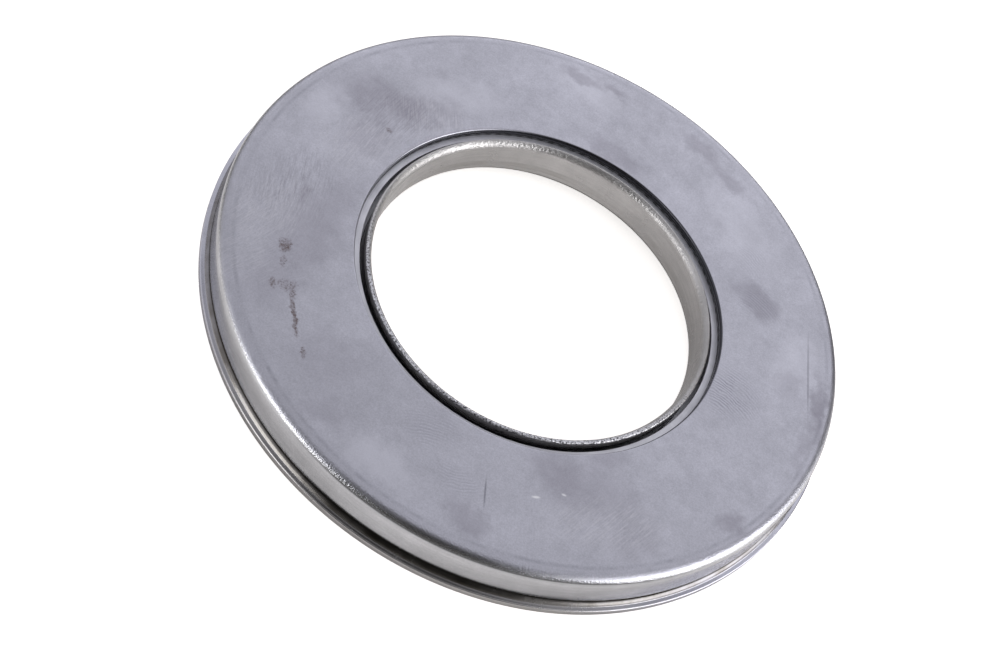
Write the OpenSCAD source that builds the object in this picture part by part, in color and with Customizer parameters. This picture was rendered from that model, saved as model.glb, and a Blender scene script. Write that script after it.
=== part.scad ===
// Thrust ball bearing in two pressed steel casings.
// The lower casing has a collar through the middle and a stepped flange around the outside.
// The upper cap turns on it, carried by a ring of balls in a cage between two grooved washers.
// Units are millimetres. The bore's axis is Z, and the flange stands on z = 0.

/* [Bore and outside] */
// Diameter of the bore through the collar
bore_d = 70; // [60:1:80]
// Outside diameter of the cap's rim
cap_od = 130.8; // [124:0.2:140]
// How far the flange reaches past the rim, on the radius
flange_reach = 1.6; // [1.2:0.1:3]

/* [Lower casing] */
// Thickness of the lower casing's sheet
casing_t = 1.5; // [1.2:0.1:1.8]
// Width of the flat land at the flange's edge
land_w = 0.75; // [0.6:0.05:1.2]
// Height of the step from the flange up to the plate
step_h = 1; // [0.8:0.1:1.2]
// Hollow radius at the foot of the step, on the upper side
step_foot_r = 0.2; // [0.1:0.1:0.6]
// Inner radius of the sheet's bend at the top of the step
step_bend_r = 0.2; // [0.1:0.1:0.4]
// Inner radius of the sheet's bend at the collar's foot
bend_r = 0.8; // [0.4:0.1:1.2]
// How far the collar's lip lies below the cap's face
lip_drop = 0.1; // [0.1:0.1:1.2]
// Rounding of the collar's lip on its outer side
lip_outer_r = 0.4; // [0.1:0.05:0.5]
// Radius of the lip's bell mouth towards the bore
lip_bell_r = 1.9; // [1.4:0.1:2.4]
// Flat left on top of the lip, between the rounding and the bell mouth
lip_land = 0.05; // [0.05:0.05:0.4]
// Rounding of the flange's lower edge
flange_lower_r = 0.2; // [0.1:0.1:0.6]
// Rounding of the flange's upper edge
flange_upper_r = 0.25; // [0.1:0.05:0.4]

/* [Upper cap] */
// Thickness of the cap's sheet
cap_t = 1.2; // [1:0.1:1.6]
// Inner radius of the bend between the face and the rim
cap_bend_r = 0.8; // [0.2:0.1:1]
// Width of the shallow slope between the flat face and the bend
slope_w = 0.9; // [0.6:0.1:3]
// How far the face falls across that slope
slope_drop = 0.08; // [0.04:0.01:0.15]
// Rounding of the hole's upper edge
hole_edge_r = 0.4; // [0.2:0.05:0.5]
// Rounding of the rim's lower edge
rim_edge_r = 0.3; // [0.1:0.05:0.4]
// Running clearance between the rim's lower edge and the casing's plate
rim_clear = 0.1; // [0.1:0.05:0.6]

/* [Races] */
// Gap between the collar and the upper race's bore, on the radius
collar_gap = 0.9; // [0.5:0.05:1.5]
// Width of the ledge that the upper race shows inside the cap's hole
ledge_w = 1.35; // [1:0.05:3]
// How far the ledge lies below the upper race's top
ledge_drop = 0.5; // [0.3:0.1:1]
// Thickness that each race keeps under its groove
race_floor = 0.9; // [0.8:0.1:1.5]
// Depth of the groove in each race
groove_depth = 1.1; // [0.8:0.05:1.2]
// Radius of the groove's section over the radius of the ball
groove_share = 1.06; // [1.04:0.01:1.12]
// Locating clearance of each race in its casing, on the radius
race_fit = 0.1; // [0.05:0.05:0.2]
// Gap between the lower race's edge and the inside of the cap's rim
race_edge_gap = 1.4; // [1:0.1:2]
// Chamfer at the races' edges that face a bend
race_chamfer = 1; // [0.8:0.1:1.3]

/* [Balls and cage] */
// Diameter of a ball
ball_d = 5; // [4:0.25:6]
// Number of balls
ball_count = 36; // [24:1:36]
// Running clearance between a ball and each groove
ball_clear = 0.05; // [0.03:0.01:0.1]
// Clearance between a ball and its pocket
pocket_clear = 0.15; // [0.1:0.05:0.3]
// Gap between the cage and each race
cage_gap = 0.45; // [0.3:0.05:0.6]
// Width of the cage's ring
cage_w = 11; // [9:0.5:14]

/* [Hidden] */
// Smoothness of what OpenSCAD itself draws
$fn = 180;
// How far a cutter runs past what it cuts
cut = 1;

// Radii
bore_r = bore_d / 2;
collar_r = bore_r + casing_t;
upper_race_bore_r = collar_r + collar_gap;
lower_race_bore_r = collar_r + race_fit;
hole_r = upper_race_bore_r + ledge_w;
rim_r = cap_od / 2;
rim_inner_r = rim_r - cap_t;
cap_corner_r = cap_bend_r + cap_t;
cap_corner_x = rim_r - cap_corner_r;
slope_x = cap_corner_x - slope_w;
upper_race_r = rim_inner_r - race_fit;
flange_r = rim_r + flange_reach;
step_foot_x = flange_r - land_w;
step_top_r = step_bend_r + casing_t;
collar_foot_r = bend_r + casing_t;
step_angle = acos(1 - step_h / (step_foot_r + step_top_r));
step_top_x = step_foot_x - (step_foot_r + step_top_r) * sin(step_angle);
lower_race_r = rim_inner_r - race_edge_gap;
pitch_r = (upper_race_bore_r + upper_race_r) / 2;
ball_r = ball_d / 2;
groove_r = ball_r * groove_share;

// Heights
plate_top = step_h + casing_t;
lower_race_top = plate_top + race_floor + groove_depth;
ball_z = plate_top + race_floor + ball_clear + ball_r;
cap_under = ball_z + ball_r + ball_clear + race_floor;
upper_race_under = cap_under - race_floor - groove_depth;
overall_h = cap_under + cap_t;
lip_z = overall_h - lip_drop;
lip_bell_w = casing_t - lip_outer_r - lip_land;
lip_bell_h = sqrt(lip_bell_r ^ 2 - (lip_bell_r - lip_bell_w) ^ 2);
rim_z = plate_top + rim_clear;

// How far each groove's centre lies from the balls' centres, away from its own race
groove_shift = groove_r - ball_r - ball_clear;

function ball_name(i) = str("ball_", i < 9 ? "0" : "", i + 1);

// Rectangle from one corner to the opposite one, in a section
module block(x0, y0, x1, y1) {
    translate([x0, y0]) square([x1 - x0, y1 - y0]);
}

// What lies between a square corner and the circle round (x, y) that touches both its sides. sx and
// sy point from the circle's centre to the corner, and the piece runs past the corner by past.
module corner(x, y, r, sx, sy, past) {
    translate([x, y]) difference() {
        translate([sx > 0 ? 0 : -r - past, sy > 0 ? 0 : -r - past]) square(r + past);
        circle(r);
    }
}

// Bent strip of sheet: a ring of thickness t round (x, y), kept between two angles at most 90 apart
module bend(x, y, r, t, from, to) {
    reach = 2 * (r + t);
    translate([x, y]) intersection() {
        difference() {
            circle(r + t);
            circle(r);
        }
        polygon([
            [0, 0],
            [reach * cos(from), reach * sin(from)],
            [reach * cos((from + to) / 2), reach * sin((from + to) / 2)],
            [reach * cos(to), reach * sin(to)]
        ]);
    }
}

// Pressed pan: collar, bend, plate, step and flange, one sheet thickness throughout
module lower_casing() {
    color("darkgray") rotate_extrude() difference() {
        union() {
            block(bore_r, step_h + collar_foot_r, collar_r, lip_z);
            bend(bore_r + collar_foot_r, step_h + collar_foot_r, bend_r, casing_t, 180, 270);
            block(bore_r + collar_foot_r, step_h, step_top_x, plate_top);
            bend(step_top_x, plate_top - step_top_r, step_bend_r, casing_t, 90 - step_angle, 90);
            bend(step_foot_x, casing_t + step_foot_r, step_foot_r, casing_t, 270 - step_angle, 270);
            block(step_foot_x, 0, flange_r, casing_t);
        }
        corner(bore_r + lip_bell_r, lip_z - lip_bell_h, lip_bell_r, -1, 1, cut);
        corner(collar_r - lip_outer_r, lip_z - lip_outer_r, lip_outer_r, 1, 1, cut);
        corner(flange_r - flange_lower_r, flange_lower_r, flange_lower_r, 1, -1, cut);
        corner(flange_r - flange_upper_r, casing_t - flange_upper_r, flange_upper_r, 1, 1, cut);
    }
}

// Ball track, as the section that is cut out of a race
module groove(z) {
    translate([pitch_r, z]) circle(groove_r);
}

// Washer on the pan's plate, centred by the collar
module lower_race() {
    color("silver") rotate_extrude() difference() {
        block(lower_race_bore_r, plate_top, lower_race_r, lower_race_top);
        polygon([
            [lower_race_bore_r - cut, plate_top - cut],
            [lower_race_bore_r + race_chamfer + cut, plate_top - cut],
            [lower_race_bore_r - cut, plate_top + race_chamfer + cut]
        ]);
        groove(ball_z + groove_shift);
    }
}

// Washer in the cap, with a stepped-down inner margin that shows as a ledge
module upper_race() {
    color("silver") rotate_extrude() difference() {
        block(upper_race_bore_r, upper_race_under, upper_race_r, cap_under);
        block(upper_race_bore_r - cut, cap_under - ledge_drop, hole_r, cap_under + cut);
        polygon([
            [upper_race_r + cut, cap_under + cut],
            [upper_race_r - race_chamfer - cut, cap_under + cut],
            [upper_race_r + cut, cap_under - race_chamfer - cut]
        ]);
        groove(ball_z - groove_shift);
    }
}

// Pressed cover: flat face, shallow slope, bend and turned-down rim
module upper_cap() {
    corner_top = overall_h - slope_drop;
    color("lightsteelblue") rotate_extrude() difference() {
        union() {
            block(hole_r, cap_under, rim_r, overall_h);
            block(rim_inner_r, rim_z, rim_r, overall_h);
            corner(rim_inner_r - cap_bend_r, cap_under - cap_bend_r, cap_bend_r, 1, 1, 0);
        }
        polygon([
            [slope_x, overall_h],
            [cap_corner_x, corner_top],
            [rim_r + cut, corner_top],
            [rim_r + cut, overall_h + cut],
            [slope_x, overall_h + cut]
        ]);
        corner(cap_corner_x, corner_top - cap_corner_r, cap_corner_r, 1, 1, cut);
        corner(hole_r + hole_edge_r, overall_h - hole_edge_r, hole_edge_r, -1, 1, cut);
        corner(rim_r - rim_edge_r, rim_z + rim_edge_r, rim_edge_r, 1, -1, cut);
    }
}

// Moves what follows it to a ball's centre
module ball_place(i) {
    rotate([0, 0, i * 360 / ball_count]) translate([pitch_r, 0, ball_z]) children();
}

// Flat ring with a round pocket for each ball
module ball_cage() {
    color("darkgoldenrod") difference() {
        rotate_extrude() block(
            pitch_r - cage_w / 2,
            lower_race_top + cage_gap,
            pitch_r + cage_w / 2,
            upper_race_under - cage_gap
        );
        for (i = [0 : ball_count - 1]) ball_place(i)
            cylinder(h = ball_d, r = ball_r + pocket_clear, center = true);
    }
}

// One ball, in its pocket
module ball(i) {
    color("gainsboro") ball_place(i) sphere(ball_r);
}

lower_casing();
lower_race();
ball_cage();
upper_race();
upper_cap();
for (i = [0 : ball_count - 1]) ball(i);
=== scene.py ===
from math import acos, cos, degrees, pi, radians, sin

import bpy
import numpy as np
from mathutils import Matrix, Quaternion, Vector
from mathutils.bvhtree import BVHTree


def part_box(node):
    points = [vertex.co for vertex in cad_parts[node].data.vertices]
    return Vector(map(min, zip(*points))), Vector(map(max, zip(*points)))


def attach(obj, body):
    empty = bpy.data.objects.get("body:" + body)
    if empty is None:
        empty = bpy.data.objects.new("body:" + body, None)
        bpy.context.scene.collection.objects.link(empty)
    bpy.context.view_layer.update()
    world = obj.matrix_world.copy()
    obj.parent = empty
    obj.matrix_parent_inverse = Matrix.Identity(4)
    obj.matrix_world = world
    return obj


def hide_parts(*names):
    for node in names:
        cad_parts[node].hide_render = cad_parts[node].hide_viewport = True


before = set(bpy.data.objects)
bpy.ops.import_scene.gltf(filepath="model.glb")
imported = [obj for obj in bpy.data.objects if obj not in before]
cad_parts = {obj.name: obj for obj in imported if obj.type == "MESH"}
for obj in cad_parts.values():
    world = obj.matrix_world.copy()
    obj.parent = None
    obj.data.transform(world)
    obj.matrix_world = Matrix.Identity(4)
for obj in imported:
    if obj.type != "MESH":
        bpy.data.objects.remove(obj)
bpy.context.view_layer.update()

# View. The bearing lies flat and is seen from 49 degrees above its face. The camera is rolled about
# its own axis, which stands the ring tilted in the frame.
mm = 0.001
frame_w, frame_h = 1000, 665
face_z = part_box("upper_cap")[1].z
view_height = radians(48.755)
view_roll = radians(31.735)
view_distance = 387.24 * mm
view_aim = Vector((-2.026 * mm, -16.470 * mm, face_z))

camera_data = bpy.data.cameras.new("camera")
camera_data.sensor_fit = "AUTO"
camera_data.sensor_width = 36.0
camera_data.lens = 70.091
camera_data.clip_start = 0.01
camera_data.clip_end = 20
camera = bpy.data.objects.new("camera", camera_data)
camera.location = Vector((0, -cos(view_height), sin(view_height))) * view_distance + Vector((0, 0, face_z))
level_look = (view_aim - camera.location).to_track_quat("-Z", "Y")
camera.rotation_mode = "QUATERNION"
camera.rotation_quaternion = level_look @ Quaternion((0, 0, 1), view_roll)
bpy.context.scene.collection.objects.link(camera)
bpy.context.scene.camera = camera
bpy.context.view_layer.update()

# Where the photograph shows things, in its own frame of 1000 by 665.
image_points = {
    "object_left": (199, 272),
    "object_right": (836, 377),
    "object_top": (453, 35),
    "object_bottom": (583, 615),
    "opening_left": (372, 256),
    "opening_right": (688, 350),
    "opening_top": (485, 168),
    "opening_bottom": (576, 440),
    "rust_patch": (285, 247),
    "rust_specks": (287, 285),
    "rust_run": (294, 315),
    "dark_smudge": (378, 100),
    "brown_spot": (389, 131),
    "oval_print": (757, 302),
    "near_smudge": (590, 490),
    "right_ridges": (730, 394),
    "near_ridges": (432, 428),
    "fine_scratch": (485, 493),
    "edge_line": (808, 376),
    "corner_patch": (733, 525),
}

# Upper cap. One blank of bright cold-rolled steel, drawn into a shallow cup and pierced: a flat
# face, a very shallow slope outside it, a bend, and a rim turned down over the casing.
cap_box = [np.array(v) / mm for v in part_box("upper_cap")]
rim_r, cap_top, rim_foot = cap_box[1][0], cap_box[1][2], cap_box[0][2]
cap_sheet = 1.2
cap_bend = 2.0
slope_width = 0.9
slope_fall = 0.08
hole_round = 0.4
rim_round = 0.3
rim_waist, waist_skew = 0.1, 1.36
hole_r = 38.75
bend_r, bend_z = rim_r - cap_bend, cap_top - slope_fall - cap_bend
slope_r = bend_r - slope_width
wall_r = rim_r - cap_sheet

# Beside an arc a flat gets a point at guard, so that smooth shading doesn't spread over it. Hidden corners
# get a bevel, and the slope starts over a crease.
guard, bevel, crease_half = 0.1, 0.05, 0.2


def arc(centre_r, centre_z, radius, start, end, steps=8):
    """Points of an arc in a section: its centre plus the radius times the cosine and sine of even angles."""
    angle = np.radians(np.linspace(start, end, steps + 1))
    return np.stack([centre_r + radius * np.cos(angle), centre_z + radius * np.sin(angle)], 1)


def lathe(name, pieces, turns=480):
    """Closed section, in millimetres of radius and height, carried round the Z axis.
    A grid point is (r cos a, r sin a, z), where a takes turns even values, and (r, z) is a section point."""
    section = np.concatenate(pieces) * mm
    section = section[np.linalg.norm(section - np.roll(section, 1, 0), axis=1) > 1e-6 * mm]
    count = len(section)
    angle = np.arange(turns) * 2 * pi / turns
    r, z = section.T
    grid = np.stack([np.outer(np.cos(angle), r), np.outer(np.sin(angle), r), np.tile(z, (turns, 1))], 2)
    turn, step = np.meshgrid(np.arange(turns), np.arange(count), indexing="ij")
    turn_on, step_on = (turn + 1) % turns, (step + 1) % count
    corners = np.stack([turn * count + step, turn_on * count + step,
                        turn_on * count + step_on, turn * count + step_on], 2).reshape(-1, 4)
    mesh = bpy.data.meshes.new(name)
    mesh.from_pydata(grid.reshape(-1, 3), [], corners)
    mesh.polygons.foreach_set("use_smooth", np.ones(len(corners), bool))
    mesh.update()
    piece = bpy.data.objects.new(name, mesh)
    bpy.context.scene.collection.objects.link(piece)
    return piece


# The rim's outside draws in to a slight waist: rim_waist times the sine of pi times the share of the way
# down, raised to waist_skew, which puts the waist at 0.6 of the way.
rim_down = np.linspace(0.04, 1, 14)
rim_line = np.stack([rim_r - rim_waist * np.sin(pi * rim_down ** waist_skew),
                     bend_z - rim_down * (bend_z - rim_foot - rim_round)], 1)
cap_shell = lathe("cap_shell", [
    arc(hole_r + hole_round, cap_top - hole_round, hole_round, 180, 90, 10),
    [[hole_r + hole_round + guard, cap_top], [slope_r - crease_half, cap_top],
     [slope_r + crease_half, cap_top - 0.2 * slope_fall]],
    arc(bend_r, bend_z, cap_bend, 90, 0, 20),
    rim_line,
    arc(rim_r - rim_round, rim_foot + rim_round, rim_round, 0, -90),
    [[wall_r + bevel, rim_foot], [wall_r, rim_foot + bevel]],
    arc(bend_r, cap_top - cap_sheet - (cap_bend - cap_sheet), cap_bend - cap_sheet, 0, 90),
    [[hole_r + bevel, cap_top - cap_sheet], [hole_r, cap_top - cap_sheet + bevel]],
])
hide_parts("upper_cap")
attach(cap_shell, "upper")


def add(tree, kind, inputs=(), **settings):
    """Adds a node to a tree. settings are its own attributes, inputs its values or the sockets it reads."""
    made = tree.nodes.new(kind)
    for name, value in settings.items():
        setattr(made, name, value)
    for socket, value in dict(inputs).items():
        if isinstance(value, bpy.types.NodeSocket):
            tree.links.new(value, made.inputs[socket])
        else:
            made.inputs[socket].default_value = value
    return made


def colour(code):
    """Linear colour with alpha from an sRGB hex code."""
    part = np.array([int(code[i:i + 2], 16) for i in (0, 2, 4)]) / 255
    linear = np.where(part <= 0.04045, part / 12.92, ((part + 0.055) / 1.055) ** 2.4)
    return (*(float(v) for v in linear), 1.0)


def bare_metal(name):
    """Starts a bare metal's material. The place it reads is the piece's own, in millimetres."""
    material = bpy.data.materials.new(name)
    material.use_nodes = True
    tree = material.node_tree
    shader = tree.nodes["Principled BSDF"]
    shader.inputs["Metallic"].default_value = 1.0
    place_in_metres = add(tree, "ShaderNodeTexCoord").outputs["Object"]
    spot = add(tree, "ShaderNodeVectorMath", {0: place_in_metres, "Scale": 1 / mm}, operation="SCALE").outputs[0]
    return material, tree, shader, spot


def from_axis(tree, spot, middle=(0, 0, 0)):
    """Distance from the upright line through middle: the length of the place less middle, its height left out."""
    aside = add(tree, "ShaderNodeVectorMath", {0: spot, 1: middle}, operation="SUBTRACT").outputs[0]
    flat = add(tree, "ShaderNodeVectorMath", {0: aside, 1: (1, 1, 0)}, operation="MULTIPLY").outputs[0]
    return add(tree, "ShaderNodeVectorMath", {0: flat}, operation="LENGTH").outputs["Value"]


def surface_of(piece):
    """Search tree of a finished piece, in world coordinates."""
    return BVHTree.FromObject(piece, bpy.context.evaluated_depsgraph_get())


def place(point, surface):
    """Where an image point lies on a surface, in millimetres: the camera's ray through it, or, when the
    ray misses, the surface's nearest place to it."""
    x, y = image_points[point]
    longest = max(frame_w, frame_h)
    ray = Vector((x - frame_w / 2 + camera_data.shift_x * longest, frame_h / 2 - y + camera_data.shift_y * longest,
                  -longest * camera_data.lens / camera_data.sensor_width))
    start = camera.matrix_world.translation
    ray = (camera.matrix_world.to_3x3() @ ray).normalized()
    met = surface.ray_cast(start, ray)[0]
    if met is None:
        tries = [surface.find_nearest(start + ray * s) for s in np.linspace(0.8, 1.2, 400) * view_distance]
        met = min(tries, key=lambda near: near[3])[0]
    return met / mm


def patch(tree, where, at, half, turn=0.0):
    """Soft oval, 1 at its middle and 0 at its edge: the place seen from the middle, turned, divided by
    the half sizes in millimetres, its length passed through a smooth step."""
    seen = add(tree, "ShaderNodeMapping", {"Vector": where, "Location": (at[0], at[1], 0),
               "Rotation": (0, 0, radians(turn)), "Scale": (half[0], half[1], 1e4)}, vector_type="TEXTURE")
    far = add(tree, "ShaderNodeVectorMath", {0: seen.outputs[0]}, operation="LENGTH")
    return add(tree, "ShaderNodeMapRange", {"Value": far.outputs["Value"], 1: 0.25, 2: 1.0, 3: 1.0, 4: 0.0},
               interpolation_type="SMOOTHSTEP").outputs[0]


# Bright cold-rolled steel. The eye gets a satin lavender-grey sheet with cloudy dull areas where it was
# handled, a fine grain, and brighter, smoother metal where the press drew it over the bend.
steel, tree, shader, spot = bare_metal("cold-rolled steel, drawn")
axes = add(tree, "ShaderNodeSeparateXYZ", {0: spot})
radius = from_axis(tree, spot)

# Clouds 20 mm across, mottling 3 mm across, and a grain of 0.3 mm, coarser than the rolled one so that it shows.
clouds = add(tree, "ShaderNodeTexNoise",
             {"Vector": spot, "Scale": 1 / 20, "Detail": 3.0, "Roughness": 0.6}).outputs[0]
mottle = add(tree, "ShaderNodeTexNoise",
             {"Vector": spot, "Scale": 1 / 3, "Detail": 4.0, "Roughness": 0.65}).outputs[0]
grain = add(tree, "ShaderNodeTexNoise",
            {"Vector": spot, "Scale": 1 / 0.3, "Detail": 2.0, "Roughness": 0.7}).outputs[0]
cloud_tone = add(tree, "ShaderNodeMapRange", {"Value": clouds, 1: 0.3, 2: 0.7, 3: 0.91, 4: 1.06})
mottle_tone = add(tree, "ShaderNodeMapRange", {"Value": mottle, 1: 0.3, 2: 0.7, 3: 0.93, 4: 1.05})
grain_tone = add(tree, "ShaderNodeMapRange", {"Value": grain, 1: 0.3, 2: 0.7, 3: 0.89, 4: 1.1})
tone = add(tree, "ShaderNodeMath", {0: cloud_tone.outputs[0], 1: mottle_tone.outputs[0]}, operation="MULTIPLY")
tone = add(tree, "ShaderNodeMath", {0: tone.outputs[0], 1: grain_tone.outputs[0]}, operation="MULTIPLY").outputs[0]

# The rim is drawn tighter than the face: smoother, and without the face's bluish film.
rim_part = add(tree, "ShaderNodeMapRange", {"Value": axes.outputs["Z"], 1: cap_top - 0.25, 2: cap_top - 1.2,
               3: 0.0, 4: 1.0}, interpolation_type="SMOOTHSTEP").outputs[0]
metal = add(tree, "ShaderNodeMix", {"Factor": rim_part, "A": colour("b5b5be"), "B": colour("bdbdc0")},
            data_type="RGBA")
toned = add(tree, "ShaderNodeVectorMath", {0: metal.outputs[2], "Scale": tone}, operation="SCALE").outputs[0]

# The rim's drawing marks: streaks 0.6 mm high that run 10 mm round it.
drawn = add(tree, "ShaderNodeVectorMath", {0: spot, 1: (1 / 10, 1 / 10, 1 / 0.6)}, operation="MULTIPLY").outputs[0]
streaks = add(tree, "ShaderNodeTexNoise",
              {"Vector": drawn, "Scale": 1.0, "Detail": 3.0, "Roughness": 0.6}).outputs[0]
streak_tone = add(tree, "ShaderNodeMapRange", {"Value": streaks, 1: 0.3, 2: 0.7, 3: 0.9, 4: 1.06}).outputs[0]
streak_tone = add(tree, "ShaderNodeMix", {"Factor": rim_part, "A": 1.0, "B": streak_tone}).outputs[0]
toned = add(tree, "ShaderNodeVectorMath", {0: toned, "Scale": streak_tone}, operation="SCALE").outputs[0]

# The hole's wall was sheared, not rolled. Below its rounded edge it is darkened, partly as dark torn metal and
# partly as painted shade in the hole's edge, and the darkened band is a little wider on one side.
off_centre = from_axis(tree, spot, (0.2, 0.14, 0))
hole_wall_dark_and_shade = add(tree, "ShaderNodeMapRange", {"Value": off_centre, 1: hole_r + 0.22, 2: hole_r + 0.04}).outputs[0]
hole_wall_dark_and_shade = add(tree, "ShaderNodeMath", {0: hole_wall_dark_and_shade, 1: 0.9}, operation="MULTIPLY").outputs[0]
toned = add(tree, "ShaderNodeMix", {"Factor": hole_wall_dark_and_shade, "A": toned, "B": colour("303034")},
            data_type="RGBA").outputs[2]

# Handling marks on the face: soft dull ovals with wandering edges. Each has its place, its half sizes
# in millimetres, its turn in degrees and how much it takes away.
cap_surface = surface_of(cap_shell)
stray = add(tree, "ShaderNodeTexNoise",
            {"Vector": spot, "Scale": 1 / 5, "Detail": 3.0, "Roughness": 0.6}).outputs["Color"]
stray = add(tree, "ShaderNodeVectorMath", {0: stray, 1: (0.5, 0.5, 0.5)}, operation="SUBTRACT")
wander = add(tree, "ShaderNodeVectorMath", {0: stray.outputs[0], 1: (9, 9, 9), 2: spot},
             operation="MULTIPLY_ADD").outputs[0]
marks = {point: place(point, cap_surface) for point in image_points if not point.startswith(("object", "opening"))}
dull_marks = [
    (marks["dark_smudge"], (13, 8), 15, 0.42),
    ((-38.6, 23.5), (11, 6), 35, 0.3),
    (marks["oval_print"], (8, 5), -25, 0.45),
    (marks["near_smudge"], (17, 9), 10, 0.3),
    ((21, -38), (9, 6), -20, 0.2),
    (marks["corner_patch"], (4.5, 3.5), 40, 0.5),
    ((60.4, 12), (3, 7), 15, 0.5),
    ((-16.7, 56.5), (7, 2.6), 14, 0.42),
    ((-8.2, 58.5), (4, 2), 0, 0.38),
    ((13.5, 56.8), (8, 3), -14, 0.35),
    ((22.3, 54), (5, 3), -25, 0.32),
    ((-26, -44), (12, 10), 20, 0.2),
    ((-48.9, -12), (1.2, 5.5), 20, 0.45),
    ((-43, -20), (9, 24), 0, 0.33),
    ((-44, -37), (8, 7), 0, 0.15),
    ((-21, -54), (7, 5), 0, 0.25),
    ((40, -42), (8, 5), 45, 0.2),
    ((54, 12), (4, 5), 0, 0.2),
    ((-46, 8), (6, 7), 0, 0.3),
    ((-1, 42), (10, 4), 0, 0.35),
    ((61.5, 2), (3, 14), 0, 0.3),
    ((27, -28), (6, 5), 45, 0.35),
    ((11, -57), (7, 5), 0, 0.45),
]
dulling = 0.0
for at, half, turn, much in dull_marks:
    oval = patch(tree, wander, at, half, turn)
    dulling = add(tree, "ShaderNodeMath", {0: oval, 1: much, 2: dulling}, operation="MULTIPLY_ADD").outputs[0]
dulling = add(tree, "ShaderNodeMath", {0: dulling, 1: 0.85}, operation="MINIMUM").outputs[0]

# Paler, rubbed places on the face, listed the same way.
rubbed_marks = [
    ((-8, -57), (12, 6), 0, 0.45),
    ((-36, 32), (15, 7), 40, 0.35),
    ((-57, 10), (5, 10), 0, 0.35),
    ((30, 42), (16, 9), -40, 0.3),
    ((53, 18), (7, 12), 0, 0.35),
    ((-14, 55), (11, 6), 0, 0.4),
]
rubbed = toned
for at, half, turn, much in rubbed_marks:
    oval = patch(tree, wander, at, half, turn)
    oval = add(tree, "ShaderNodeMath", {0: oval, 1: much}, operation="MULTIPLY").outputs[0]
    rubbed = add(tree, "ShaderNodeMix", {"Factor": oval, "A": rubbed, "B": colour("cfcfd8")},
                 data_type="RGBA").outputs[2]
dulled = add(tree, "ShaderNodeMix", {"Factor": dulling, "A": rubbed, "B": colour("8e8b95")},
             data_type="RGBA").outputs[2]

# Painted shade along the crease where the flat face meets its slope: a faint dark line 0.7 mm wide, broken here
# and there.
off_crease = add(tree, "ShaderNodeMath", {0: radius, 1: slope_r + 0.1}, operation="SUBTRACT")
off_crease = add(tree, "ShaderNodeMath", {0: off_crease.outputs[0]}, operation="ABSOLUTE")
crease_shade = add(tree, "ShaderNodeMapRange",
             {"Value": off_crease.outputs[0], 1: 0.1, 2: 0.6, 3: 1.0, 4: 0.0}).outputs[0]
crease_shade_breaks = add(tree, "ShaderNodeMapRange", {"Value": mottle, 1: 0.42, 2: 0.66, 3: 0.02, 4: 0.36}).outputs[0]
crease_shade = add(tree, "ShaderNodeMath", {0: crease_shade, 1: crease_shade_breaks}, operation="MULTIPLY").outputs[0]
crease_shaded = add(tree, "ShaderNodeMix", {"Factor": crease_shade, "A": dulled, "B": colour("6f7079")},
              data_type="RGBA").outputs[2]

# Hairline scratches 0.3 mm wide and some 4 mm long: worn places on the face are scuffed by crossing sets of
# them, some pale where they scatter light, some dark. Each set has its place, half sizes and turn, and then
# the way the scratches run, in degrees, and their colour.
scratch_length, scratch_width = 3.6, 0.3
pale_scratch, dark_scratch = "cbcad0", "86848d"
scuffs = [
    ((-54, -24), (12, 8), 70, 75, pale_scratch),
    ((-52, -18), (14, 10), 70, 98, pale_scratch),
    ((-50, -34), (9, 8), 60, 66, pale_scratch),
    ((-46, 6), (13, 10), 75, 88, pale_scratch),
    ((-38, 22), (14, 8), 20, 120, pale_scratch),
    ((34, -42), (18, 8), 30, 72, pale_scratch),
    ((-52, -12), (15, 11), 70, 110, dark_scratch),
    ((-44, 18), (15, 10), 40, 84, dark_scratch),
]
scuffed = crease_shaded
for at, half, turn, lay, code in scuffs:
    laid = add(tree, "ShaderNodeMapping", {"Vector": spot, "Rotation": (0, 0, radians(lay)),
               "Scale": (scratch_length, scratch_width, 1e4)}, vector_type="TEXTURE").outputs[0]
    lines = add(tree, "ShaderNodeTexNoise",
                {"Vector": laid, "Scale": 1.0, "Detail": 3.0, "Roughness": 0.6}).outputs[0]
    lines = add(tree, "ShaderNodeMapRange", {"Value": lines, 1: 0.44, 2: 0.7, 3: 0.0, 4: 0.52}).outputs[0]
    oval = patch(tree, wander, at, half, turn)
    lines = add(tree, "ShaderNodeMath", {0: lines, 1: oval}, operation="MULTIPLY").outputs[0]
    scuffed = add(tree, "ShaderNodeMix", {"Factor": lines, "A": scuffed, "B": colour(code)},
                  data_type="RGBA").outputs[2]

# Single lines: a fine scratch, a straight stain near the edge, and two bright nicks.
single_lines = [
    (marks["fine_scratch"], (4.6, 0.28), -68, "55555c", 0.5),
    (marks["edge_line"], (14, 0.33), -70, "62626a", 0.4),
    ((19.8, -45.1), (1.2, 0.4), 30, "e8e8ea", 0.8),
    ((24.1, -41.3), (0.7, 0.35), 10, "e8e8ea", 0.7),
]
lined = scuffed
for at, half, turn, code, much in single_lines:
    line = patch(tree, spot, at, half, turn)
    line = add(tree, "ShaderNodeMath", {0: line, 1: much}, operation="MULTIPLY").outputs[0]
    lined = add(tree, "ShaderNodeMix", {"Factor": line, "A": lined, "B": colour(code)},
                data_type="RGBA").outputs[2]

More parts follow.
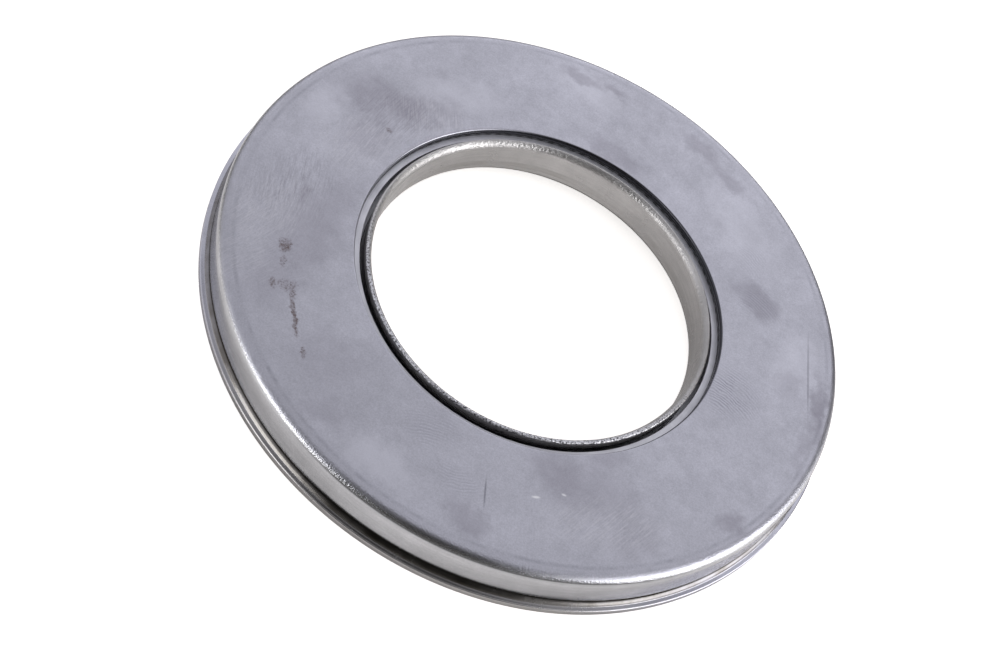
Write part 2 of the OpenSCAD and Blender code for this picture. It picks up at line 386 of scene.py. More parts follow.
# Fingerprints: ridges as the ball of a finger leaves them, but at 0.65 mm apart a little coarse, so that they
# show. Each print has its place, its ridges' centre seen from there, its half sizes, turn and strength.
ridge_step = 0.65
prints = [
    (marks["right_ridges"], (-2, -17), (9, 9), 0, 0.8),
    (marks["near_ridges"], (6, -14), (8, 6), 20, 0.5),
    (marks["near_ridges"] + Vector((9, -7, 0)), (-3, 9), (8, 4), 0, 0.4),
    (marks["oval_print"], (-3, -16), (8, 6), -25, 0.5),
    (marks["oval_print"] + Vector((-5, 9, 0)), (-6, -15), (5, 6), 0, 0.35),
]
ridged = lined
wobble = add(tree, "ShaderNodeTexNoise", {"Vector": spot, "Scale": 1 / 3, "Detail": 2.0}).outputs["Color"]
wobble = add(tree, "ShaderNodeVectorMath", {0: wobble, 1: (1.3, 1.3, 0), 2: spot},
             operation="MULTIPLY_ADD").outputs[0]
broken = add(tree, "ShaderNodeMapRange", {"Value": mottle, 1: 0.4, 2: 0.6, 3: 0.3, 4: 1.0}).outputs[0]
for at, centre, half, turn, much in prints:
    about = (at[0] + centre[0], at[1] + centre[1], 0)
    from_centre = add(tree, "ShaderNodeMapping", {"Vector": wobble, "Location": about}, vector_type="TEXTURE")
    rings = add(tree, "ShaderNodeTexWave", {"Vector": from_centre.outputs[0],
                "Scale": 2 * pi / 20 / ridge_step, "Distortion": 1.2, "Detail": 2.0, "Detail Scale": 0.25},
                wave_type="RINGS", rings_direction="Z").outputs[1]
    oval = patch(tree, spot, at, half, turn)
    strength = add(tree, "ShaderNodeMath", {0: oval, 1: rings}, operation="MULTIPLY").outputs[0]
    strength = add(tree, "ShaderNodeMath", {0: strength, 1: broken}, operation="MULTIPLY").outputs[0]
    strength = add(tree, "ShaderNodeMath", {0: strength, 1: much}, operation="MULTIPLY").outputs[0]
    ridged = add(tree, "ShaderNodeMix", {"Factor": strength, "A": ridged, "B": colour("8b8b95")},
                 data_type="RGBA").outputs[2]

# Rust: brown specks 0.4 mm across in a patch, a cluster and a run below it, with frayed edges. It is thin,
# so the metal shows through it in spots of 0.9 mm. Each has its place, half sizes, turn, and the height of
# noise over which it shows: the lower, the fuller.
speck = add(tree, "ShaderNodeTexNoise",
            {"Vector": spot, "Scale": 1 / 0.42, "Detail": 5.0, "Roughness": 0.8}).outputs[0]
thin = add(tree, "ShaderNodeTexNoise",
           {"Vector": spot, "Scale": 1 / 0.9, "Detail": 2.0, "Roughness": 0.7}).outputs[0]
fray = add(tree, "ShaderNodeTexNoise",
           {"Vector": spot, "Scale": 1 / 2, "Detail": 3.0, "Roughness": 0.7}).outputs["Color"]
fray = add(tree, "ShaderNodeVectorMath", {0: fray, 1: (0.5, 0.5, 0.5)}, operation="SUBTRACT")
frayed = add(tree, "ShaderNodeVectorMath", {0: fray.outputs[0], 1: (2, 2, 0), 2: spot},
             operation="MULTIPLY_ADD").outputs[0]
rust_spots = [
    (marks["rust_patch"], (2.2, 2.0), 60, 0.37),
    (marks["rust_patch"] + Vector((-0.6, 1.2, 0)), (3.6, 2.2), 15, 0.49),
    (marks["rust_patch"] + Vector((1.2, -3.0, 0)), (3.6, 1.6), -70, 0.48),
    (marks["rust_specks"], (4.6, 3.4), 20, 0.48),
    (marks["rust_specks"] + Vector((-2.4, -1.2, 0)), (2.6, 1.4), -60, 0.44),
    (marks["rust_specks"] + Vector((1.6, -0.6, 0)), (4.2, 1.3), -55, 0.42),
    (marks["rust_run"], (8.4, 1.0), -54, 0.33),
    ((-30.7, -45.3), (2.8, 0.9), -58, 0.40),
    (marks["brown_spot"], (1.5, 1.0), -30, 0.40),
]
rust = 0.0
for at, half, turn, spread in rust_spots:
    oval = patch(tree, frayed, at, half, turn)
    reach = add(tree, "ShaderNodeMath", {0: oval, 1: speck}, operation="MULTIPLY")
    here = add(tree, "ShaderNodeMapRange", {"Value": reach.outputs[0], 1: spread - 0.08, 2: spread + 0.14})
    rust = add(tree, "ShaderNodeMath", {0: here.outputs[0], 1: rust}, operation="MAXIMUM").outputs[0]
thick = add(tree, "ShaderNodeMapRange", {"Value": thin, 1: 0.38, 2: 0.62, 3: 0.35, 4: 0.82}).outputs[0]
rusted = add(tree, "ShaderNodeMath", {0: rust, 1: thick}, operation="MULTIPLY").outputs[0]
rusty = add(tree, "ShaderNodeMix", {"Factor": rusted, "A": ridged, "B": colour("58463f")},
            data_type="RGBA").outputs[2]
tree.links.new(rusty, shader.inputs["Base Color"])

# Gloss: satin on the face, duller where it was handled, smooth on the bend and rim.
satin = add(tree, "ShaderNodeMapRange", {"Value": mottle, 1: 0.3, 2: 0.7, 3: 0.38, 4: 0.3})
smooth = add(tree, "ShaderNodeMix", {"Factor": rim_part, "A": satin.outputs[0], "B": 0.2}).outputs[0]
matt = add(tree, "ShaderNodeMath", {0: dulling, 1: 0.15, 2: smooth}, operation="MULTIPLY_ADD")
tree.links.new(matt.outputs[0], shader.inputs["Roughness"])

# Relief: the sheet's grain, and over the bend pits 0.35 mm across that drawing left.
grained = add(tree, "ShaderNodeBump", {"Height": grain, "Strength": 0.35, "Distance": 0.02 * mm}).outputs[0]
pits = add(tree, "ShaderNodeTexNoise",
           {"Vector": spot, "Scale": 1 / 0.35, "Detail": 2.0, "Roughness": 0.6}).outputs[0]
on_bend = add(tree, "ShaderNodeMath", {0: radius, 1: bend_r + 1.0, 2: 0.8}, operation="COMPARE")
above_rim = add(tree, "ShaderNodeMath", {0: axes.outputs["Z"], 1: cap_top - 1.8}, operation="GREATER_THAN")
pitted = add(tree, "ShaderNodeMath", {0: on_bend.outputs[0], 1: above_rim.outputs[0]},
             operation="MULTIPLY").outputs[0]
pit_depth = add(tree, "ShaderNodeMath", {0: pits, 1: pitted}, operation="MULTIPLY").outputs[0]
bump = add(tree, "ShaderNodeBump", {"Height": pit_depth, "Normal": grained, "Strength": 0.9, "Distance": 0.1 * mm})
tree.links.new(bump.outputs[0], shader.inputs["Normal"])
cap_shell.data.materials.append(steel)

# Lower casing. A second drawn blank: a collar with a burnished, rounded lip, a plate that carries the
# lower race, and a step down to the narrow flange that shows below the cap's rim.
casing_box = [np.array(v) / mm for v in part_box("lower_casing")]
flange_r, lip_z = casing_box[1][0], casing_box[1][2]
sheet = 1.5
bore_r = 35.0
step_height = 1.0
land = 0.75
foot_hollow = 0.2
inner_bend = 0.8
outer_bend = inner_bend + sheet
step_inner = 0.2
step_outer = step_inner + sheet
lip_round, lip_land = 0.4, 0.05
bell = 1.9
bell_end = degrees(acos(1 - (sheet - lip_round - lip_land) / bell))
bell_z = lip_z - bell * sin(radians(bell_end))
flange_round_low, flange_round_top = 0.2, 0.25
foot_r = flange_r - land
step_turn = degrees(acos(1 - step_height / (foot_hollow + step_outer)))
step_r = foot_r - (foot_hollow + step_outer) * sin(radians(step_turn))
step_z = step_height + sheet - step_outer
casing_shell = lathe("casing_shell", [
    [[bore_r, step_height + outer_bend + guard], [bore_r, bell_z - guard]],
    arc(bore_r + bell, bell_z, bell, 180, 180 - bell_end, 20),
    arc(bore_r + sheet - lip_round, lip_z - lip_round, lip_round, 90, 0),
    [[bore_r + sheet, step_height + outer_bend + guard]],
    arc(bore_r + outer_bend, step_height + outer_bend, inner_bend, 180, 270),
    [[step_r - guard, step_height + sheet]],
    arc(step_r, step_z, step_outer, 90, 90 - step_turn, 16),
    arc(foot_r, sheet + foot_hollow, foot_hollow, 270 - step_turn, 270, 6),
    [[flange_r - flange_round_top - guard / 2, sheet]],
    arc(flange_r - flange_round_top, sheet - flange_round_top, flange_round_top, 90, 0),
    arc(flange_r - flange_round_low, flange_round_low, flange_round_low, 0, -90),
    [[foot_r + guard, 0]],
    arc(foot_r, sheet + foot_hollow, foot_hollow + sheet, 270, 270 - step_turn),
    arc(step_r, step_z, step_inner, 90 - step_turn, 90, 4),
    [[bore_r + outer_bend + guard, step_height]],
    arc(bore_r + outer_bend, step_height + outer_bend, outer_bend, 270, 180, 12),
])
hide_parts("lower_casing")
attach(casing_shell, "lower")

# Deep-drawn steel. The eye gets a warm neutral grey, streaked round the bore where the tool dragged,
# and a lip whose pitted rounding glitters, with glints painted on its near side.
pan, tree, shader, spot = bare_metal("cold-rolled steel, deep drawn")
axes = add(tree, "ShaderNodeSeparateXYZ", {0: spot})
radius = from_axis(tree, spot)

# Streaks 0.5 mm high and some 12 mm long run round the wall; clouds of 6 mm; grain as on the cap.
drawn = add(tree, "ShaderNodeVectorMath", {0: spot, 1: (1 / 12, 1 / 12, 1 / 0.5)}, operation="MULTIPLY").outputs[0]
streaks = add(tree, "ShaderNodeTexNoise",
              {"Vector": drawn, "Scale": 1.0, "Detail": 3.0, "Roughness": 0.6}).outputs[0]
clouds = add(tree, "ShaderNodeTexNoise",
             {"Vector": spot, "Scale": 1 / 6, "Detail": 3.0, "Roughness": 0.6}).outputs[0]
grain = add(tree, "ShaderNodeTexNoise",
            {"Vector": spot, "Scale": 1 / 0.3, "Detail": 2.0, "Roughness": 0.7}).outputs[0]
streak_tone = add(tree, "ShaderNodeMapRange", {"Value": streaks, 1: 0.3, 2: 0.7, 3: 0.9, 4: 1.04})
cloud_tone = add(tree, "ShaderNodeMapRange", {"Value": clouds, 1: 0.3, 2: 0.7, 3: 0.9, 4: 1.04})
grain_tone = add(tree, "ShaderNodeMapRange", {"Value": grain, 1: 0.3, 2: 0.7, 3: 0.95, 4: 1.04})
tone = add(tree, "ShaderNodeMath", {0: streak_tone.outputs[0], 1: cloud_tone.outputs[0]}, operation="MULTIPLY")
tone = add(tree, "ShaderNodeMath", {0: tone.outputs[0], 1: grain_tone.outputs[0]}, operation="MULTIPLY").outputs[0]

# The flange and the step show from 5 mm within the cap's rim outwards. Away from the near side they are painted
# paler and cooler than the bore, a painted reflection of the pale room. The bore is painted a sixth darker on the
# right, a painted shade.
outer_part = add(tree, "ShaderNodeMath", {0: radius, 1: rim_r - 5}, operation="GREATER_THAN").outputs[0]
cool_painted_sheen = add(tree, "ShaderNodeMapRange",
           {"Value": axes.outputs["Y"], 1: -58.0, 2: -38.0, 3: 0.0, 4: outer_part}).outputs[0]
metal = add(tree, "ShaderNodeMix", {"Factor": cool_painted_sheen, "A": colour("bdbbba"), "B": colour("c8c8d2")},
            data_type="RGBA")
# Painted shade: the bore a sixth darker on the right.
bore_right_painted_shade = add(tree, "ShaderNodeMapRange", {"Value": axes.outputs["X"], 1: 27.0, 2: 35.0, 3: 1.0, 4: 0.84}).outputs[0]
bore_right_painted_shade = add(tree, "ShaderNodeMath", {0: bore_right_painted_shade, 1: outer_part}, operation="MAXIMUM").outputs[0]
tone = add(tree, "ShaderNodeMath", {0: tone, 1: bore_right_painted_shade}, operation="MULTIPLY").outputs[0]
toned = add(tree, "ShaderNodeVectorMath", {0: metal.outputs[2], "Scale": tone}, operation="SCALE").outputs[0]

# Old grease has dried in a faint line, a third of the way up the bore.
grease = add(tree, "ShaderNodeMath", {0: axes.outputs["Z"], 1: 4.2, 2: 0.7}, operation="COMPARE").outputs[0]
in_bore = add(tree, "ShaderNodeMath", {0: radius, 1: bore_r + 0.5}, operation="LESS_THAN").outputs[0]
grease = add(tree, "ShaderNodeMath", {0: grease, 1: in_bore}, operation="MULTIPLY").outputs[0]
grease_worn = add(tree, "ShaderNodeMapRange", {"Value": clouds, 1: 0.4, 2: 0.65, 3: 0.0, 4: 0.3}).outputs[0]
grease = add(tree, "ShaderNodeMath", {0: grease, 1: grease_worn}, operation="MULTIPLY").outputs[0]
tone_with_painted_light = add(tree, "ShaderNodeMix", {"Factor": grease, "A": toned, "B": colour("7b766f")},
             data_type="RGBA").outputs[2]

# Under the cap's rim the step is painted near-black, a painted shadow in the narrow joint, and a thin brown film
# of grease covers the step.
on_step = add(tree, "ShaderNodeMapRange", {"Value": radius, 1: foot_r, 2: foot_r - 0.25}).outputs[0]
on_step = add(tree, "ShaderNodeMath", {0: on_step, 1: outer_part}, operation="MULTIPLY").outputs[0]
film = add(tree, "ShaderNodeMapRange", {"Value": clouds, 1: 0.35, 2: 0.65, 3: 0.6, 4: 0.88}).outputs[0]
film = add(tree, "ShaderNodeMath", {0: on_step, 1: film}, operation="MULTIPLY").outputs[0]
tone_with_painted_light = add(tree, "ShaderNodeMix", {"Factor": film, "A": tone_with_painted_light, "B": colour("57524b")},
             data_type="RGBA").outputs[2]
under_rim_painted_shadow = add(tree, "ShaderNodeMapRange", {"Value": radius, 1: rim_r + 0.15, 2: rim_r - 0.1}).outputs[0]
under_rim_painted_shadow = add(tree, "ShaderNodeMath", {0: under_rim_painted_shadow, 1: outer_part}, operation="MULTIPLY").outputs[0]
tone_with_painted_light = add(tree, "ShaderNodeMix", {"Factor": under_rim_painted_shadow, "A": tone_with_painted_light, "B": colour("26241f")},
             data_type="RGBA").outputs[2]

# On the near side the lip's top edge gets painted glints: bright specks among dark ones 0.4 mm across, a painted
# sparkle of its pitted edge.
near_side = add(tree, "ShaderNodeMapRange", {"Value": axes.outputs["Y"], 1: 0.0, 2: -20.0}).outputs[0]
near_lip_painted_glints = add(tree, "ShaderNodeMapRange", {"Value": axes.outputs["Z"], 1: lip_z - 0.5, 2: lip_z - 0.25}).outputs[0]
near_lip_painted_glints = add(tree, "ShaderNodeMath", {0: near_lip_painted_glints, 1: near_side}, operation="MULTIPLY").outputs[0]
glint_speckle = add(tree, "ShaderNodeTexNoise",
           {"Vector": spot, "Scale": 1 / 0.4, "Detail": 3.0, "Roughness": 0.7}).outputs[0]
glint_speckle = add(tree, "ShaderNodeMapRange", {"Value": glint_speckle, 1: 0.4, 2: 0.52}).outputs[0]
painted_glint_specks = add(tree, "ShaderNodeMix", {"Factor": glint_speckle, "A": colour("4a494e"), "B": colour("d4d4d8")},
           data_type="RGBA").outputs[2]
tone_with_painted_light = add(tree, "ShaderNodeMix", {"Factor": near_lip_painted_glints, "A": tone_with_painted_light, "B": painted_glint_specks}, data_type="RGBA").outputs[2]
tree.links.new(tone_with_painted_light, shader.inputs["Base Color"])

# Gloss: smooth from drawing, and duller on the lip, down to 1.6 mm below its top.
on_lip = add(tree, "ShaderNodeMapRange", {"Value": axes.outputs["Z"], 1: lip_z - 1.6, 2: lip_z - 1.1}).outputs[0]
gloss = add(tree, "ShaderNodeMapRange", {"Value": clouds, 1: 0.3, 2: 0.7, 3: 0.3, 4: 0.2})
gloss = add(tree, "ShaderNodeMath", {0: on_lip, 1: 0.16, 2: gloss.outputs[0]}, operation="MULTIPLY_ADD")
tree.links.new(gloss.outputs[0], shader.inputs["Roughness"])

# Relief: the sheet's grain, and pits 0.5 mm across round the lip, where the drawn edge was trimmed and
# belled out. They are deeper on the near side.
grained = add(tree, "ShaderNodeBump", {"Height": grain, "Strength": 0.35, "Distance": 0.02 * mm}).outputs[0]
pits = add(tree, "ShaderNodeTexNoise",
           {"Vector": spot, "Scale": 1 / 0.5, "Detail": 2.0, "Roughness": 0.5}).outputs[0]
pitted = add(tree, "ShaderNodeMath", {0: near_side, 1: 0.4, 2: 1.0}, operation="MULTIPLY_ADD").outputs[0]
pitted = add(tree, "ShaderNodeMath", {0: pitted, 1: on_lip}, operation="MULTIPLY").outputs[0]
pit_depth = add(tree, "ShaderNodeMath", {0: pits, 1: pitted}, operation="MULTIPLY").outputs[0]
bump = add(tree, "ShaderNodeBump",
           {"Height": pit_depth, "Normal": grained, "Strength": 0.9, "Distance": 0.17 * mm})
tree.links.new(bump.outputs[0], shader.inputs["Normal"])
casing_shell.data.materials.append(pan)

# Races. Two turned and ground washers of through-hardened bearing steel, each with a groove for the
# balls. Only the upper one's stepped-down margin shows, as a ledge inside the cap's hole.
hardened, tree, shader, spot = bare_metal("bearing steel, ground")
# Grinding lines run round the axis, 0.12 mm apart, coarser than real ones so that they show.
rings = add(tree, "ShaderNodeTexWave",
            {"Vector": spot, "Scale": 2 * pi / 20 / 0.12, "Distortion": 1.5, "Detail": 3.0},
            wave_type="RINGS", rings_direction="Z").outputs[1]
clouds = add(tree, "ShaderNodeTexNoise", {"Vector": spot, "Scale": 1 / 5, "Detail": 3.0}).outputs[0]
ring_tone = add(tree, "ShaderNodeMapRange", {"Value": rings, 3: 0.95, 4: 1.02})
cloud_tone = add(tree, "ShaderNodeMapRange", {"Value": clouds, 1: 0.3, 2: 0.7, 3: 0.92, 4: 1.03})
tone = add(tree, "ShaderNodeMath", {0: ring_tone.outputs[0], 1: cloud_tone.outputs[0]},
           operation="MULTIPLY").outputs[0]
toned = add(tree, "ShaderNodeVectorMath", {0: colour("dcdce2")[:3], "Scale": tone}, operation="SCALE").outputs[0]
# The margin's wall, under the cap's edge, is painted near-black: a painted shade in the recess.
radius = from_axis(tree, spot)
margin_wall_painted_shade = add(tree, "ShaderNodeMapRange",
              {"Value": radius, 1: hole_r - 0.05, 2: hole_r - 0.01, 3: 0.0, 4: 0.85}).outputs[0]
tone_with_painted_light = add(tree, "ShaderNodeMix", {"Factor": margin_wall_painted_shade, "A": toned, "B": colour("1f1e1c")},
             data_type="RGBA").outputs[2]
tree.links.new(tone_with_painted_light, shader.inputs["Base Color"])
gloss = add(tree, "ShaderNodeMapRange", {"Value": clouds, 1: 0.3, 2: 0.7, 3: 0.62, 4: 0.5})
tree.links.new(gloss.outputs[0], shader.inputs["Roughness"])
bump = add(tree, "ShaderNodeBump", {"Height": rings, "Strength": 0.2, "Distance": 0.004 * mm})
tree.links.new(bump.outputs[0], shader.inputs["Normal"])


def dress(node, material):
    """Gives a CAD node's own mesh one material in place of what it has."""
    node.data.materials.clear()
    node.data.materials.append(material)


for name in ("upper_race", "lower_race"):
    dress(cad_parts[name], hardened)

# Cage. A flat ring of rolled brass, drilled for the balls and turned on both faces.
brass, tree, shader, spot = bare_metal("brass, turned")
# Turning marks 0.2 mm apart, and tarnish in clouds of 4 mm.
rings = add(tree, "ShaderNodeTexWave",
            {"Vector": spot, "Scale": 2 * pi / 20 / 0.2, "Distortion": 1.0, "Detail": 2.0},
            wave_type="RINGS", rings_direction="Z").outputs[1]
clouds = add(tree, "ShaderNodeTexNoise", {"Vector": spot, "Scale": 1 / 4, "Detail": 3.0}).outputs[0]
tarnish = add(tree, "ShaderNodeMapRange", {"Value": clouds, 1: 0.35, 2: 0.75, 3: 0.0, 4: 0.7}).outputs[0]
brassy = add(tree, "ShaderNodeMix", {"Factor": tarnish, "A": colour("d8b46c"), "B": colour("9a7a45")},
             data_type="RGBA")
tree.links.new(brassy.outputs[2], shader.inputs["Base Color"])
gloss = add(tree, "ShaderNodeMapRange", {"Value": clouds, 1: 0.3, 2: 0.7, 3: 0.22, 4: 0.4})
tree.links.new(gloss.outputs[0], shader.inputs["Roughness"])
bump = add(tree, "ShaderNodeBump", {"Height": rings, "Strength": 0.3, "Distance": 0.008 * mm})
tree.links.new(bump.outputs[0], shader.inputs["Normal"])
dress(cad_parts["ball_cage"], brass)

# Balls. Chrome steel, lapped to a mirror, with a breath of grease on them.
lapped, tree, shader, spot = bare_metal("chrome steel, lapped")
# Grease film in clouds of 1.5 mm.
film = add(tree, "ShaderNodeTexNoise", {"Vector": spot, "Scale": 1 / 1.5, "Detail": 3.0}).outputs[0]
greasy = add(tree, "ShaderNodeMapRange", {"Value": film, 1: 0.45, 2: 0.75, 3: 0.0, 4: 0.5}).outputs[0]
mirror = add(tree, "ShaderNodeMix", {"Factor": greasy, "A": colour("cdcdd0"), "B": colour("b3aea2")},
             data_type="RGBA")
tree.links.new(mirror.outputs[2], shader.inputs["Base Color"])
gloss = add(tree, "ShaderNodeMapRange", {"Value": film, 1: 0.4, 2: 0.75, 3: 0.05, 4: 0.2})
tree.links.new(gloss.outputs[0], shader.inputs["Roughness"])
for name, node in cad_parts.items():
    if name.startswith("ball_") and name != "ball_cage":
        dress(node, lapped)

# Floor. A wide sheet of white paper, lit as everything is, which also glows: white to the camera, and
# unevenly to metal. A trace of the bearing's shadow stays on it.
floor_half = 1500 * mm
mesh = bpy.data.meshes.new("floor")
mesh.from_pydata([(-floor_half, -floor_half, 0), (floor_half, -floor_half, 0),
                  (floor_half, floor_half, 0), (-floor_half, floor_half, 0)], [], [(0, 1, 2, 3)])
floor = bpy.data.objects.new("floor", mesh)
bpy.context.scene.collection.objects.link(floor)
paper = bpy.data.materials.new("white paper")
paper.use_nodes = True
tree = paper.node_tree
tree.nodes.clear()
rays = add(tree, "ShaderNodeLightPath").outputs
mirrored = add(tree, "ShaderNodeMath", {0: rays["Is Glossy Ray"], 1: rays["Is Transmission Ray"]},
               operation="MAXIMUM").outputs[0]
spot = add(tree, "ShaderNodeTexCoord").outputs["Object"]
axes = add(tree, "ShaderNodeSeparateXYZ", {0: spot})
reach = add(tree, "ShaderNodeVectorMath", {0: spot}, operation="LENGTH").outputs["Value"]
# Metal sees the paper pale next to the bearing. Farther out it is bright where the lamps stand over it, to the
# right and to the lower left, and dark towards the camera. The flange shades it where they touch, and inside
# the bore the collar shades both its sides.
pale_end, lit_start = 74 * mm, 96 * mm
apart = add(tree, "ShaderNodeMapRange", {"Value": reach, 1: pale_end, 2: lit_start},
            interpolation_type="SMOOTHSTEP").outputs[0]
unit = add(tree, "ShaderNodeVectorMath", {0: spot}, operation="NORMALIZE").outputs[0]
lamp_glow = 0.1
lit_azimuths = (0, -141)
for azimuth in lit_azimuths:
    toward = (cos(radians(azimuth)), sin(radians(azimuth)), 0)
    facing = add(tree, "ShaderNodeVectorMath", {0: unit, 1: toward}, operation="DOT_PRODUCT").outputs["Value"]
    lit = add(tree, "ShaderNodeMapRange", {"Value": facing, 1: 0.8, 2: 0.96, 3: 0.0, 4: 1.1}).outputs[0]
    lamp_glow = add(tree, "ShaderNodeMath", {0: lit, 1: lamp_glow}, operation="ADD").outputs[0]
shaded = add(tree, "ShaderNodeMapRange",
             {"Value": axes.outputs["X"], 1: 2 * mm, 2: 34 * mm, 3: 0.34, 4: 0.04}).outputs[0]
shaded_left = add(tree, "ShaderNodeMapRange",
                  {"Value": axes.outputs["X"], 1: -24 * mm, 2: -4 * mm, 3: 0.2, 4: 0.34}).outputs[0]
shaded = add(tree, "ShaderNodeMath", {0: shaded, 1: shaded_left}, operation="MINIMUM").outputs[0]
within = add(tree, "ShaderNodeMath", {0: reach, 1: bore_r * mm}, operation="LESS_THAN").outputs[0]
contact_start, contact_end = 67.4 * mm, 69.0 * mm
outside = add(tree, "ShaderNodeMapRange",
              {"Value": reach, 1: contact_start, 2: contact_end, 3: 0.0, 4: 0.36}).outputs[0]
near_glow = add(tree, "ShaderNodeMix", {"Factor": within, "A": outside, "B": shaded}).outputs[0]
mirror_glow = add(tree, "ShaderNodeMix", {"Factor": apart, "A": near_glow, "B": lamp_glow}).outputs[0]
mirror_glow = add(tree, "ShaderNodeMath", {0: mirrored, 1: mirror_glow}, operation="MULTIPLY").outputs[0]
glow = add(tree, "ShaderNodeMath", {0: rays["Is Camera Ray"], 1: 0.75, 2: mirror_glow},
           operation="MULTIPLY_ADD").outputs[0]
light = add(tree, "ShaderNodeEmission", {"Color": colour("fffdfb"), "Strength": glow})
faded = add(tree, "ShaderNodeMath", {0: mirrored, 1: apart}, operation="MULTIPLY").outputs[0]
paper_tone = add(tree, "ShaderNodeMix", {"Factor": faded, "A": colour("eeebe8"), "B": colour("4a4a4a")},
                 data_type="RGBA").outputs[2]
matte = add(tree, "ShaderNodeBsdfDiffuse", {"Color": paper_tone})
both = add(tree, "ShaderNodeAddShader", {0: light.outputs[0], 1: matte.outputs[0]})
add(tree, "ShaderNodeOutputMaterial", {"Surface": both.outputs[0]})
mesh.materials.append(paper)

# Studio. A pale room that is brighter to the right, with the dark side of the room behind the camera
# and over it, and one dark corner at the back on the right. The camera's own rays see plain white.
studio = bpy.data.worlds.new("studio")
studio.use_nodes = True
tree = studio.node_tree
tree.nodes.clear()
direction = add(tree, "ShaderNodeTexCoord").outputs["Generated"]
toward = add(tree, "ShaderNodeSeparateXYZ", {0: direction}).outputs
far_side = add(tree, "ShaderNodeMapRange", {"Value": toward["Y"], 1: -0.4, 2: 0.0},
               interpolation_type="SMOOTHSTEP")
left_side = add(tree, "ShaderNodeMapRange", {"Value": toward["X"], 1: -0.3, 2: -0.55},
                interpolation_type="SMOOTHSTEP")
right_side = add(tree, "ShaderNodeMapRange", {"Value": toward["X"], 1: 0.55, 2: 0.85},
                 interpolation_type="SMOOTHSTEP")
lit = add(tree, "ShaderNodeMath", {0: left_side.outputs[0], 1: right_side.outputs[0]}, operation="MAXIMUM")
lit = add(tree, "ShaderNodeMath", {0: lit.outputs[0], 1: far_side.outputs[0]}, operation="MAXIMUM").outputs[0]
down = add(tree, "ShaderNodeMapRange", {"Value": toward["Y"], 1: 0.45, 2: 0.8, 3: 0.62, 4: 1.22})
across = add(tree, "ShaderNodeMapRange", {"Value": toward["X"], 1: -0.3, 2: 0.3, 3: -0.13, 4: 0.13})
overhead = add(tree, "ShaderNodeMapRange", {"Value": toward["Y"], 1: 0.42, 2: 0.15, 3: 0.0, 4: 0.18})
left_wall = add(tree, "ShaderNodeMapRange", {"Value": toward["X"], 1: -0.22, 2: -0.4, 3: 0.0, 4: 0.17})
bright = down
for more in (across, overhead, left_wall):
    bright = add(tree, "ShaderNodeMath", {0: bright.outputs[0], 1: more.outputs[0]}, operation="ADD")
walls = add(tree, "ShaderNodeVectorMath", {0: colour("f4f4fa")[:3], "Scale": bright.outputs[0]}, operation="SCALE")
gloom = add(tree, "ShaderNodeMapRange", {"Value": toward["Z"], 1: 0.1, 2: 0.5}).outputs[0]
gloom = add(tree, "ShaderNodeMix", {"Factor": gloom, "A": colour("6a6864"), "B": colour("2c2b29")},
            data_type="RGBA").outputs[2]
corner_way = (0.7, 0.66, 0.27)
corner = add(tree, "ShaderNodeVectorMath", {0: direction, 1: corner_way}, operation="DOT_PRODUCT").outputs["Value"]
corner = add(tree, "ShaderNodeMapRange", {"Value": corner, 1: 0.87, 2: 0.94, 3: 1.0, 4: 0.0},
             interpolation_type="SMOOTHSTEP")
lit = add(tree, "ShaderNodeMath", {0: lit, 1: corner.outputs[0]}, operation="MULTIPLY").outputs[0]
tint = add(tree, "ShaderNodeMix", {"Factor": lit, "A": gloom, "B": walls.outputs[0]}, data_type="RGBA").outputs[2]
room = add(tree, "ShaderNodeBackground", {"Color": tint, "Strength": 1.0})
white = add(tree, "ShaderNodeBackground", {"Color": (1, 1, 1, 1), "Strength": 1.0})
straight = add(tree, "ShaderNodeLightPath").outputs["Is Camera Ray"]
mixed = add(tree, "ShaderNodeMixShader", {0: straight, 1: room.outputs[0], 2: white.outputs[0]})
add(tree, "ShaderNodeOutputWorld", {"Surface": mixed.outputs[0]})
bpy.context.scene.world = studio


def softbox(name, azimuth, height, distance, width, tall, brightness):
    """Area lamp facing the bearing, at an azimuth and a height in degrees and a distance in metres. Its power
    is pi times its area times how bright it looks."""
    data = bpy.data.lights.new(name, "AREA")
    data.shape = "RECTANGLE"
    data.size = width
    data.size_y = tall
    data.energy = pi * width * tall * brightness
    lamp = bpy.data.objects.new(name, data)
    a, h = radians(azimuth), radians(height)
    lamp.location = Vector((cos(a) * cos(h), sin(a) * cos(h), sin(h))) * distance
    lamp.rotation_euler = (-lamp.location).to_track_quat("-Z", "Y").to_euler()
    bpy.context.scene.collection.objects.link(lamp)


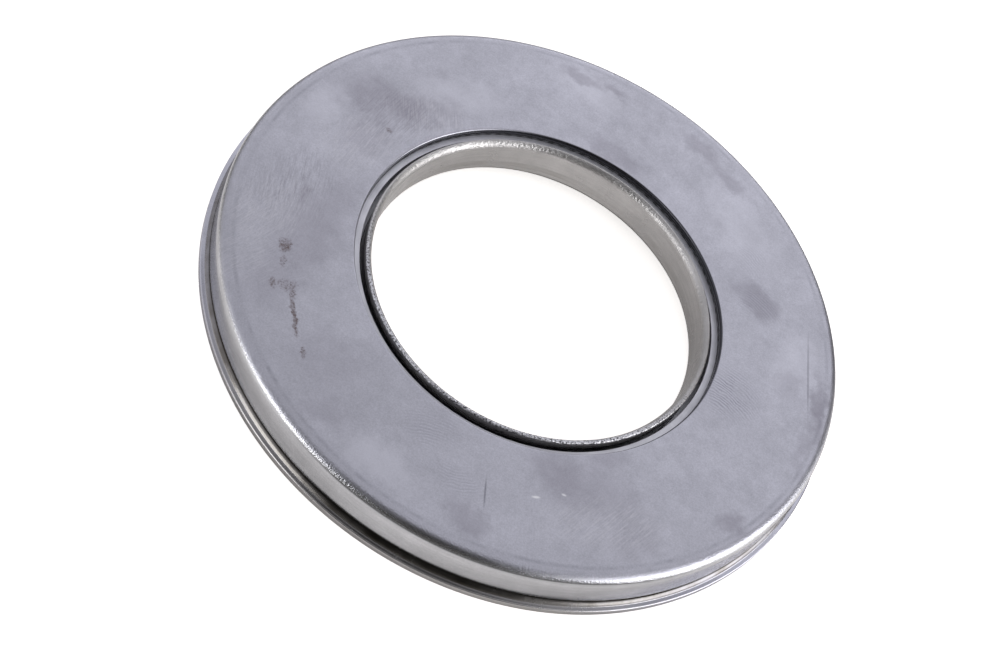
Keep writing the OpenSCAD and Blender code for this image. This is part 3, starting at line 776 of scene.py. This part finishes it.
softbox("right_softbox", azimuth=-1, height=17, distance=0.9, width=0.92, tall=0.54, brightness=3.4)
softbox("left_softbox", azimuth=-133, height=11, distance=0.9, width=0.46, tall=0.46, brightness=3.4)
bpy.context.scene.view_settings.view_transform = "Standard"


def to_image(points):
    """Image x and y of points (n x 3, metres): camera axes by its inverse matrix, divided by the depth."""
    inverse = np.array(camera.matrix_world.inverted())
    local = points @ inverse[:3, :3].T + inverse[:3, 3]
    scale = -frame_w * camera_data.lens / camera_data.sensor_width / local[:, 2]
    return np.stack([frame_w / 2 + local[:, 0] * scale, frame_h / 2 - local[:, 1] * scale], 1)


def extremes(outline):
    """Left, right, top and bottom places of an outline in the image."""
    return [outline[i] for i in (outline[:, 0].argmin(), outline[:, 0].argmax(),
                                 outline[:, 1].argmin(), outline[:, 1].argmax())]


# How far each thing shows from its image point. The outside is that of all vertices. The opening's
# edge, in each direction from its middle, is the nearest of the rings that the bore's section points
# turn through.
solid = np.concatenate([np.array([v.co for v in piece.data.vertices]) for piece in (cap_shell, casing_shell)])
bore_rings = np.array([v.co for v in casing_shell.data.vertices])
bore_rings = to_image(bore_rings[np.hypot(bore_rings[:, 0], bore_rings[:, 1]) < (bore_r + sheet) * mm])
opening_middle = np.mean([image_points[p] for p in ("opening_left", "opening_right")], 0)
spoke = np.arctan2(*(bore_rings - opening_middle).T[::-1])
reach = np.linalg.norm(bore_rings - opening_middle, axis=1)
sectors = 360
sector = ((spoke + pi) / (2 * pi) * sectors).astype(int) % sectors
nearest = np.full(sectors, np.inf)
np.minimum.at(nearest, sector, reach)
spokes = (np.arange(sectors) + 0.5) / sectors * 2 * pi - pi
opening = opening_middle + nearest[:, None] * np.stack([np.cos(spokes), np.sin(spokes)], 1)
shown = dict(zip(("object_left", "object_right", "object_top", "object_bottom"), extremes(to_image(solid))))
shown |= dict(zip(("opening_left", "opening_right", "opening_top", "opening_bottom"), extremes(opening)))
shown |= {point: to_image(np.array([at * mm]))[0] for point, at in marks.items()}
apart = {point: [round(float(v), 2) for v in shown[point] - np.array(image_points[point])] for point in shown}
